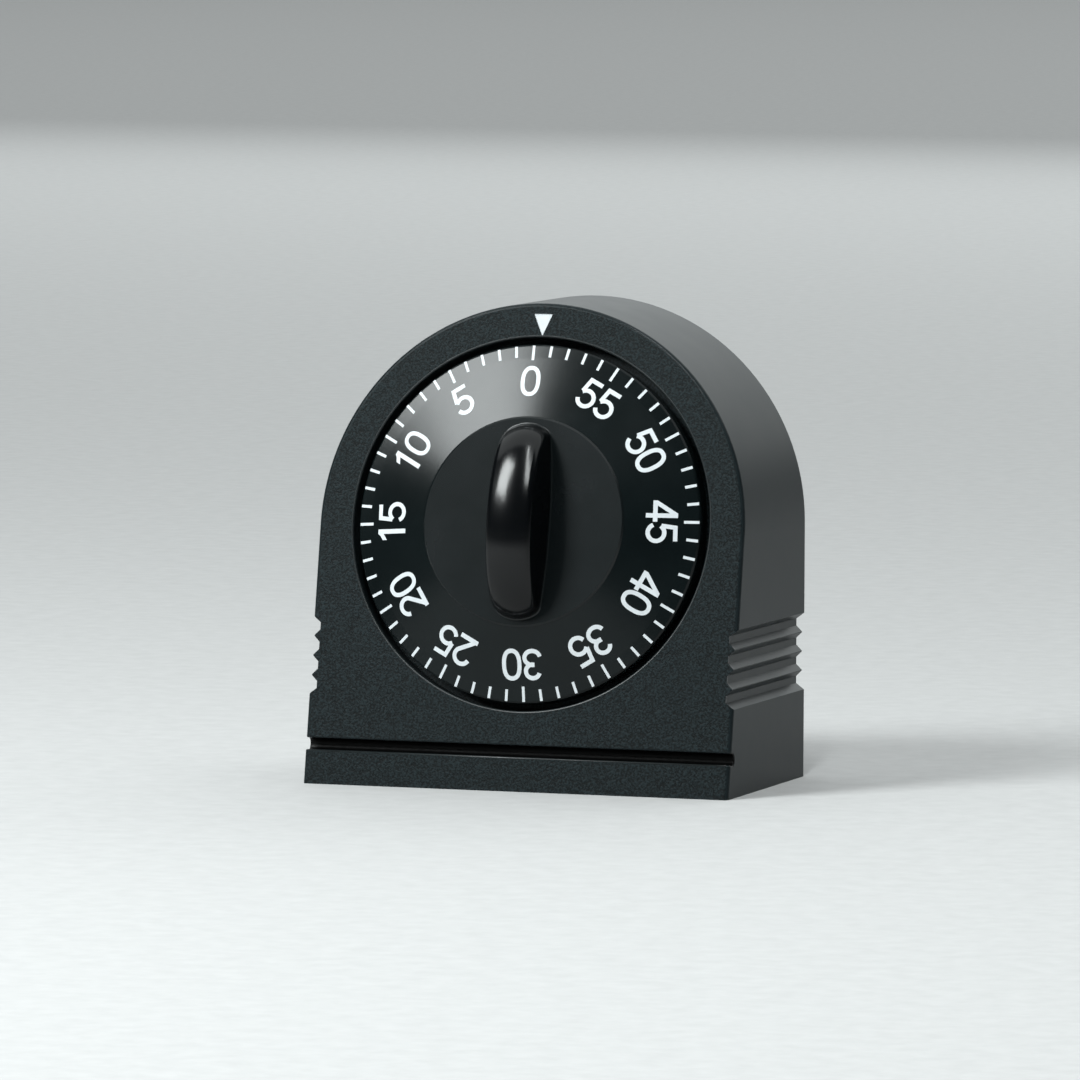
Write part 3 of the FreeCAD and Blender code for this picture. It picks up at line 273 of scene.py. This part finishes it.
def along(material, vector, direction):
    """How far a vector reaches in a direction."""
    node = add(material, "ShaderNodeVectorMath", operation="DOT_PRODUCT")
    join(material, vector, node.inputs[0])
    node.inputs[1].default_value = direction
    return node.outputs["Value"]


def from_place(material, place_m):
    """The vector from a place in the row frame to the shaded point."""
    node = add(material, "ShaderNodeVectorMath", operation="SUBTRACT")
    join(material, object_coordinates(material), node.inputs[0])
    node.inputs[1].default_value = place_m
    return node.outputs["Vector"]


def bump(material, shader, height, distance_m, strength=0.5):
    node = add(material, "ShaderNodeBump", Strength=strength, Distance=distance_m)
    join(material, height, node.inputs["Height"])
    join(material, node.outputs["Normal"], shader.inputs["Normal"])
    return node


# ---------------------------------------------------------------- masks on the case and the knob
def faces_out(material):
    """1 where the surface faces out of the front, 0 where it turns away."""
    normal = add(material, "ShaderNodeTexCoord").outputs["Normal"]
    return step_between(material, along(material, normal, OUT), *FRONT_FACING)


def in_front_of(material, low, high):
    """0 where a point stands less than low (mm) out of the case's front plane, 1 above high."""
    height = along(material, from_place(material, DIAL_ORIGIN_M), OUT)
    return step_between(material, height, low * MM, high * MM)


def outside_groove(material):
    """0 inside the groove above the base strip, where shade is painted, 1 elsewhere."""
    middle = SLOPE_UP * (GROOVE_LOW_Y + GROOVE_WIDTH / 2) + OUT * GROOVE_SHADE_N
    sideless = add(material, "ShaderNodeVectorMath", operation="MULTIPLY")
    join(material, from_place(material, DIAL_ORIGIN_M + middle * MM), sideless.inputs[0])
    sideless.inputs[1].default_value = Vector((1, 1, 1)) - ACROSS
    length = add(material, "ShaderNodeVectorMath", operation="LENGTH")
    join(material, sideless.outputs["Vector"], length.inputs[0])
    return step_between(material, length.outputs["Value"], GROOVE_SHADE_R * MM, GROOVE_SHADE_END_R * MM)


# ---------------------------------------------------------------- materials
def scaled(colour, share):
    return tuple(channel * share for channel in colour) + (1.0,)


def spark_plastic():
    """Black plastic from a tool with a spark-eroded front: it sparkles in front, has smoother sides and has
    shade painted near-black inside the groove.
    """
    material, shader = new_material("spark_plastic")
    place = object_coordinates(material)
    grain = noise(material, place, SPARK_SCALE, roughness=0.6)
    cloud = noise(material, place, CASE_CLOUD_SCALE)
    front = faces_out(material)
    sides = ramp(material, cloud, SIDE_DARK, SIDE_LIGHT)
    sparks = ramp(material, grain, SPARK_DARK, SPARK_LIGHT, *SPARK_EDGES)
    # painted shade: the inside of the groove is coloured near-black
    painted_groove_shade = ramp(material, cloud, GROOVE_SHADE_DARK, GROOVE_SHADE_LIGHT)
    colour = blend(material, outside_groove(material), painted_groove_shade, blend(material, front, sides, sparks))
    join(material, colour, shader.inputs["Base Color"])
    turned_away = add(material, "ShaderNodeMath", operation="LESS_THAN")
    join(material, front, turned_away.inputs[0])
    turned_away.inputs[1].default_value = TURNED_AWAY
    worn = times(material, turned_away.outputs["Value"], in_front_of(material, *WORN_N))
    plain = spread(material, front, SIDE_ROUGHNESS, FRONT_ROUGHNESS)
    finish = times(material, plain, spread(material, worn, 1.0, WORN_SHARE))
    uneven = spread(material, cloud, *CASE_UNEVEN)
    join(material, times(material, uneven, finish), shader.inputs["Roughness"])
    lift = bump(material, shader, grain, SPARK_DEPTH * MM)
    join(material, front, lift.inputs["Strength"])
    shader.inputs["Specular IOR Level"].default_value = CASE_SPECULAR
    return material


def smooth_plastic(name, colour, roughness, grain_depth, specular=0.5):
    """Black plastic with a faint moulding grain and slightly uneven gloss."""
    material, shader = new_material(name)
    place = object_coordinates(material)
    cloud = noise(material, place, **PLASTIC_CLOUD)
    colours = ramp(material, cloud, scaled(colour, 1 - COLOUR_SPREAD), scaled(colour, 1 + COLOUR_SPREAD))
    join(material, colours, shader.inputs["Base Color"])
    gloss = spread(material, cloud, roughness - GLOSS_SPREAD, roughness + GLOSS_SPREAD)
    join(material, gloss, shader.inputs["Roughness"])
    bump(material, shader, noise(material, place, PLASTIC_GRAIN_SCALE), grain_depth * MM)
    shader.inputs["Specular IOR Level"].default_value = specular
    return material


def knob_plastic():
    """Black plastic whose disc is satin and whose bar is polished by the fingers."""
    material, shader = new_material("knob_plastic")
    place = object_coordinates(material)
    cloud = noise(material, place, **PLASTIC_CLOUD)
    bar = in_front_of(material, GRIP_START_N, GRIP_POLISH_N)
    satin = ramp(material, cloud, DISC_DARK, DISC_LIGHT)
    polished = ramp(material, cloud, GRIP_DARK, GRIP_LIGHT)
    join(material, blend(material, bar, satin, polished), shader.inputs["Base Color"])
    uneven = spread(material, cloud, *KNOB_UNEVEN)
    finish = spread(material, bar, DISC_ROUGHNESS, GRIP_ROUGHNESS)
    join(material, times(material, uneven, finish), shader.inputs["Roughness"])
    bump(material, shader, noise(material, place, PLASTIC_GRAIN_SCALE), KNOB_GRAIN_DEPTH * MM)
    shader.inputs["Specular IOR Level"].default_value = KNOB_SPECULAR
    return material


def white_ink():
    material, shader = new_material("white_ink")
    cloud = noise(material, object_coordinates(material), INK_CLOUD_SCALE)
    join(material, ramp(material, cloud, INK_DULL, INK_CLEAN), shader.inputs["Base Color"])
    shader.inputs["Roughness"].default_value = INK_ROUGHNESS
    return material


def metal(name, colour, roughness, scale):
    """Turned or rolled metal: a stretched noise gives it faint lines."""
    material, shader = new_material(name)
    stretch = add(material, "ShaderNodeMapping", Scale=METAL_STRETCH)
    join(material, object_coordinates(material), stretch.inputs["Vector"])
    lines = noise(material, stretch.outputs["Vector"], scale, detail=3.0, roughness=0.6)
    colours = ramp(material, lines, scaled(colour, METAL_DARK_SHARE), scaled(colour, 1))
    join(material, colours, shader.inputs["Base Color"])
    gloss = spread(material, lines, roughness - METAL_GLOSS_LOW, roughness + METAL_GLOSS_HIGH)
    join(material, gloss, shader.inputs["Roughness"])
    shader.inputs["Metallic"].default_value = 1.0
    return material


def make_materials():
    """The materials by slot, and the polished edge's, which has no slot of its own."""
    return {
        "case_plastic": spark_plastic(),
        "polished_edge": smooth_plastic("polished_edge", EDGE_COLOUR, roughness=0.38, grain_depth=0.003),
        "cover_plastic": smooth_plastic("cover_plastic", COVER_COLOUR, roughness=0.5, grain_depth=0.03),
        "dial_plastic": smooth_plastic("dial_plastic", DIAL_COLOUR, roughness=0.20, grain_depth=0.006,
                                       specular=0.22),
        "grip_plastic": knob_plastic(),
        "white_paint": white_ink(),
        "screw_steel": metal("screw_steel", ZINC, roughness=0.35, scale=600.0),
        "pillar_steel": metal("pillar_steel", STEEL, roughness=0.3, scale=900.0),
        "arbor_steel": metal("arbor_steel", STEEL, roughness=0.22, scale=900.0),
        "spring_steel": metal("spring_steel", BLUED_STEEL, roughness=0.3, scale=900.0),
        "bell_steel": metal("bell_steel", NICKEL, roughness=0.15, scale=300.0),
        "plate_brass": metal("plate_brass", PLATE_BRASS, roughness=0.38, scale=500.0),
        "wheel_brass": metal("wheel_brass", WHEEL_BRASS, roughness=0.3, scale=700.0),
    }


def dress_cad_nodes(materials):
    for part in frame["record"]["subparts"]:
        node = frame["nodes"][part["node"]]
        node.data.materials.clear()
        node.data.materials.append(materials[part["material_slot"]])


# ---------------------------------------------------------------- pieces
def new_piece(name, body, material):
    mesh = bpy.data.meshes.new(name)
    piece = bpy.data.objects.new(name, mesh)
    bpy.context.scene.collection.objects.link(piece)
    piece.data.materials.append(material)
    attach(piece, body)
    return piece


def fill(piece, shape):
    shape.to_mesh(piece.data)
    shape.free()
    piece.data.update()


def fill_print(piece, shape):
    """Fills a piece with flat faces that all look out of the front."""
    bmesh.ops.recalc_face_normals(shape, faces=shape.faces)
    for face in shape.faces:
        if face.normal.dot(OUT) < 0:
            face.normal_flip()
    fill(piece, shape)


def fill_solid(piece, shape):
    bmesh.ops.recalc_face_normals(shape, faces=shape.faces)
    fill(piece, shape)


# ---------------------------------------------------------------- figures
# A figure is a list of strokes, and a stroke is a list of outlines. Each stroke lies over the one before.
def arc(centre_x, centre_y, radius_x, radius_y, start, end, steps=20):
    points = []
    for i in range(steps + 1):
        angle = math.radians(start + (end - start) * i / steps)
        points.append((centre_x + radius_x * math.cos(angle), centre_y + radius_y * math.sin(angle)))
    return points


def block(left, right, low, high):
    return [(left, low), (right, low), (right, high), (left, high)]


def ribbon(points, width=FIGURE_STROKE, closed=False):
    """The quads of a pen stroke of constant width along a line of points."""
    left, right = [], []
    count = len(points)
    for i, point in enumerate(points):
        before = points[i - 1] if closed or i else point
        after = points[(i + 1) % count] if closed or i < count - 1 else point
        here = Vector(point)
        into = (here - Vector(before)).normalized()
        away = (Vector(after) - here).normalized()
        if into.length == 0:
            into = away
        if away.length == 0:
            away = into
        middle = (into + away).normalized()
        side = Vector((-middle.y, middle.x))
        reach = width / 2 / max(MITRE_LIMIT, side.dot(Vector((-into.y, into.x))))
        left.append(here + side * reach)
        right.append(here - side * reach)
    last = count if closed else count - 1
    return [(left[i], right[i], right[(i + 1) % count], left[(i + 1) % count]) for i in range(last)]


def signed_power(value, power):
    return math.copysign(abs(value) ** power, value)


def figure_zero():
    loop = []
    for i in range(ZERO_SIDES):
        angle = 2 * math.pi * i / ZERO_SIDES
        x = signed_power(math.cos(angle), ZERO_SIDE_POWER)
        y = signed_power(math.sin(angle), ZERO_END_POWER)
        loop.append((ZERO_HALF_WIDTH * x, FIGURE_HEIGHT / 2 + (FIGURE_HEIGHT - FIGURE_STROKE) / 2 * y))
    return [ribbon(loop, closed=True)]


def figure_one():
    stem = block(0.10, 0.88, 0, FIGURE_HEIGHT)
    flag = [(0.10, FIGURE_HEIGHT), (0.10, 4.25), (-0.95, 3.60), (-0.95, 4.42), (-0.25, 4.85)]
    return [[stem], [flag]]


def figure_two():
    hook = arc(0.02, 3.60, 1.36, 1.31, 172, -32)
    tail = [(-1.22, 0.45)]
    base = block(-TWO_HALF_WIDTH, TWO_HALF_WIDTH, 0, FIGURE_BAR)
    return [ribbon(hook + tail), [base]]


def figure_three():
    top = arc(0.0, 3.78, 1.22, 1.13, 165, -84)
    bottom = arc(0.0, 1.56, 1.38, 1.17, 86, -168)
    return [ribbon([*top, (-0.35, 2.68)]), ribbon([(-0.35, 2.70), *bottom])]


def figure_four():
    stem = block(0.42, 0.42 + FIGURE_BAR, 0, FIGURE_HEIGHT)
    bar = block(-1.75, 1.86, 1.18, 1.92)
    slant = [(-1.75, 1.92), (-0.90, 1.92), (0.70, 4.40), (0.70, FIGURE_HEIGHT), (0.42, FIGURE_HEIGHT)]
    return [[stem], [bar], [slant]]


def figure_five():
    top = [(1.42, FIVE_BAR_Y), (-0.88, FIVE_BAR_Y), (-1.18, 2.62)]
    bowl = arc(0.02, 1.74, 1.40, 1.37, 146, -160)
    return [ribbon(top), ribbon(bowl)]


FIGURES = {
    "0": figure_zero,
    "1": figure_one,
    "2": figure_two,
    "3": figure_three,
    "4": figure_four,
    "5": figure_five,
}


# ---------------------------------------------------------------- printed scale
def dial_height(radius):
    """How far the dial stands out of the case's front plane at a radius."""
    if radius > BAND_R:
        share = (RIM_R - radius) / (RIM_R - BAND_R)
        return RIM_N + share * (BAND_N - RIM_N)
    share = (BAND_R - radius) / (BAND_R - CONE_TOP_R)
    return BAND_N + share * (CONE_TOP_N - BAND_N)


def on_dial(across, out, turn, lift):
    """A point of the printed scale: across and out are measured on a dial turned by turn degrees."""
    angle = math.radians(turn)
    x = across * math.cos(angle) - out * math.sin(angle)
    y = across * math.sin(angle) + out * math.cos(angle)
    return DIAL_TO_ROW @ (Vector((x, y, dial_height(math.hypot(x, y)) + lift)) * MM)


def add_print(shape, outlines, turn, across=0, out=0, lift=INK):
    """Lays outlines on the dial, with each of their points at the dial's own height."""
    for outline in outlines:
        corners = [shape.verts.new(on_dial(across + x, out + y, turn, lift)) for x, y in outline]
        shape.faces.new(corners)


def make_ticks(materials):
    shape = bmesh.new()
    half = TICK_WIDTH / 2
    for minute in range(MINUTES):
        stops = [TICK_OUTER_R, TICK_INNER_R]
        if minute % FIGURE_MINUTES == 0:
            stops = [TICK_OUTER_R, BAND_R, LONG_TICK_INNER_R]
        outlines = [block(-half, half, inner, outer) for outer, inner in zip(stops, stops[1:])]
        add_print(shape, outlines, FIRST_TICK_TURN + minute * MINUTE_TURN)
    fill_print(new_piece("dial_ticks", "dial", materials["white_paint"]), shape)


def make_figures(materials):
    for minute in range(0, MINUTES, FIGURE_MINUTES):
        shape = bmesh.new()
        text = str(minute)
        turn = FIRST_TICK_TURN + minute * MINUTE_TURN
        for place, digit in enumerate(text):
            across = (place - (len(text) - 1) / 2) * FIGURE_ADVANCE
            for layer, stroke in enumerate(FIGURES[digit]()):
                lift = INK + layer * STROKE_STEP
                add_print(shape, stroke, turn, across, FIGURE_R - FIGURE_HEIGHT / 2, lift)
        piece = new_piece("dial_figure_" + text, "dial", materials["white_paint"])
        fill_print(piece, shape)


# ---------------------------------------------------------------- edges polished by handling
def lip_section(lip):
    """A rounded edge's skin, as (distance away from the opening's wall, height above the face)."""
    def arc_points(radius, degrees):
        return [(lip - radius * math.sin(math.radians(a)), radius * math.cos(math.radians(a)) - lip)
                for a in degrees]

    steps = range(0, 91, LIP_STEP)
    return arc_points(lip + SKIN, steps) + arc_points(lip / 2, reversed(steps))


def add_rings(shape, rings, closed):
    """Skins a row of equal outlines, and closes its ends unless the row meets itself."""
    count = len(rings[0])
    following = rings[1:] + rings[:1] if closed else rings[1:]
    for first, second in zip(rings, following):
        for i in range(count):
            j = (i + 1) % count
            shape.faces.new((first[i], first[j], second[j], second[i])).smooth = i < count // 2 - 1
    if not closed:
        shape.faces.new(rings[0])
        shape.faces.new(list(reversed(rings[-1])))


def make_lip(name, rings, closed, materials):
    """A skin through rings of points that are given in the dial frame."""
    shape = bmesh.new()
    rows = [[shape.verts.new(DIAL_TO_ROW @ (Vector(point) * MM)) for point in ring] for ring in rings]
    add_rings(shape, rows, closed)
    fill_solid(new_piece(name, "case", materials["polished_edge"]), shape)


def make_lips(materials):
    window = []
    for i in range(LIP_SIDES):
        angle = 2 * math.pi * i / LIP_SIDES
        window.append([((WINDOW_R + away) * math.cos(angle), (WINDOW_R + away) * math.sin(angle), height)
                       for away, height in lip_section(WINDOW_LIP)])
    make_lip("window_lip", window, True, materials)
    groove = [[(x, GROOVE_LOW_Y - away, height) for away, height in lip_section(GROOVE_LIP)]
              for x in (-GROOVE_LIP_REACH, GROOVE_LIP_REACH)]
    make_lip("groove_lip", groove, False, materials)


# ---------------------------------------------------------------- room, light and camera
def make_floor():
    """A wide pale floor whose far rim turns up, so that a low view never sees past it."""
    material, shader = new_material("floor_paper")
    fibre = noise(material, object_coordinates(material), **FLOOR_FIBRE)
    join(material, ramp(material, fibre, FLOOR_DARK, FLOOR_LIGHT), shader.inputs["Base Color"])
    shader.inputs["Roughness"].default_value = FLOOR_ROUGHNESS
    shader.inputs["Specular IOR Level"].default_value = 0.0
    shape = bmesh.new()
    rings = []
    turns = [2 * math.pi * i / FLOOR_SIDES for i in range(FLOOR_SIDES)]
    for degrees in range(0, 91, FLOOR_RIM_STEP):
        angle = math.radians(degrees)
        reach_m = FLOOR_R_M - FLOOR_RIM_M * (1 - math.sin(angle))
        rise_m = FLOOR_RIM_M * (1 - math.cos(angle))
        rings.append([shape.verts.new((reach_m * math.cos(turn), reach_m * math.sin(turn), rise_m))
                      for turn in turns])
    shape.faces.new(rings[0])
    for inner, outer in zip(rings, rings[1:]):
        for i in range(FLOOR_SIDES):
            j = (i + 1) % FLOOR_SIDES
            shape.faces.new((inner[i], outer[i], outer[j], inner[j])).smooth = True
    mesh = bpy.data.meshes.new("floor")
    shape.to_mesh(mesh)
    shape.free()
    floor = bpy.data.objects.new("floor", mesh)
    floor.location = (0, 0, CAD_BOX[0][2])
    bpy.context.scene.collection.objects.link(floor)
    floor.data.materials.append(material)
    floor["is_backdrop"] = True


def towards(azimuth, elevation):
    """The unit vector from the object to a place in the room. Azimuth 0 is in front, +90 is its right."""
    azimuth, elevation = math.radians(azimuth), math.radians(elevation)
    return Vector((math.sin(azimuth) * math.cos(elevation), -math.cos(azimuth) * math.cos(elevation),
                   math.sin(elevation)))


def around(azimuth, elevation, distance_m=1.0):
    """A place at a distance from the middle of the timer."""
    return LIGHT_AIM_M + towards(azimuth, elevation) * distance_m


def soft_light(name, place_m, width_m, height_m, brightness, aim_m=LIGHT_AIM_M):
    """A softbox that faces its aim. Brightness is what its surface gives off, whatever its size."""
    data = bpy.data.lights.new(name, "AREA")
    data.shape = "RECTANGLE"
    data.size = width_m
    data.size_y = height_m
    data.energy = brightness * math.pi * width_m * height_m
    data.color = LIGHT_COLOUR
    lamp = bpy.data.objects.new(name, data)
    bpy.context.scene.collection.objects.link(lamp)
    lamp.location = place_m
    lamp.visible_camera = False
    lamp.rotation_euler = (aim_m - place_m).to_track_quat("-Z", "Y").to_euler()


def make_lights():
    soft_light("key", around(-38, 37), width_m=0.33, height_m=0.44, brightness=23.5)
    soft_light("second", around(14, 54), width_m=0.06, height_m=0.66, brightness=30.0)
    soft_light("behind", around(176, 27, distance_m=2.5), width_m=3.4, height_m=1.8, brightness=1.1)
    soft_light("overhead", OVERHEAD_AIM_M + OVERHEAD_RISE_M, width_m=10.0, height_m=10.0, brightness=1.1,
               aim_m=OVERHEAD_AIM_M)
    world = bpy.data.worlds.new("studio")
    bpy.context.scene.world = world
    world.use_nodes = True
    background = world.node_tree.nodes["Background"]
    background.inputs["Color"].default_value = WORLD_COLOUR
    background.inputs["Strength"].default_value = WORLD_STRENGTH
    bpy.context.scene.view_settings.view_transform = "Standard"


def make_camera():
    roll = math.radians(CAMERA_ROLL)
    back = towards(CAMERA_AZIMUTH, CAMERA_ELEVATION)
    level_right = towards(CAMERA_AZIMUTH + 90, 0)
    level_up = back.cross(level_right)
    right = level_right * math.cos(roll) + level_up * math.sin(roll)
    up = level_up * math.cos(roll) - level_right * math.sin(roll)
    data = bpy.data.cameras.new("camera")
    data.sensor_width = CAMERA_SENSOR
    data.lens = CAMERA_LENS
    data.clip_start, data.clip_end = CAMERA_CLIP_M
    camera = bpy.data.objects.new("camera", data)
    bpy.context.scene.collection.objects.link(camera)
    place = CAMERA_AIM_M + back * CAMERA_DISTANCE_M + right * AIM_SLIDE_RIGHT_M + up * AIM_SLIDE_UP_M
    camera.matrix_world = Matrix.Translation(place) @ Matrix((right, up, back)).transposed().to_4x4()
    bpy.context.scene.camera = camera


def plain(corners):
    return [list(corner) for corner in corners]


materials = make_materials()
dress_cad_nodes(materials)
make_ticks(materials)
make_figures(materials)
make_lips(materials)
make_floor()
make_lights()
make_camera()
{"cad": plain(CAD_BOX), "visual": plain(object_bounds())}
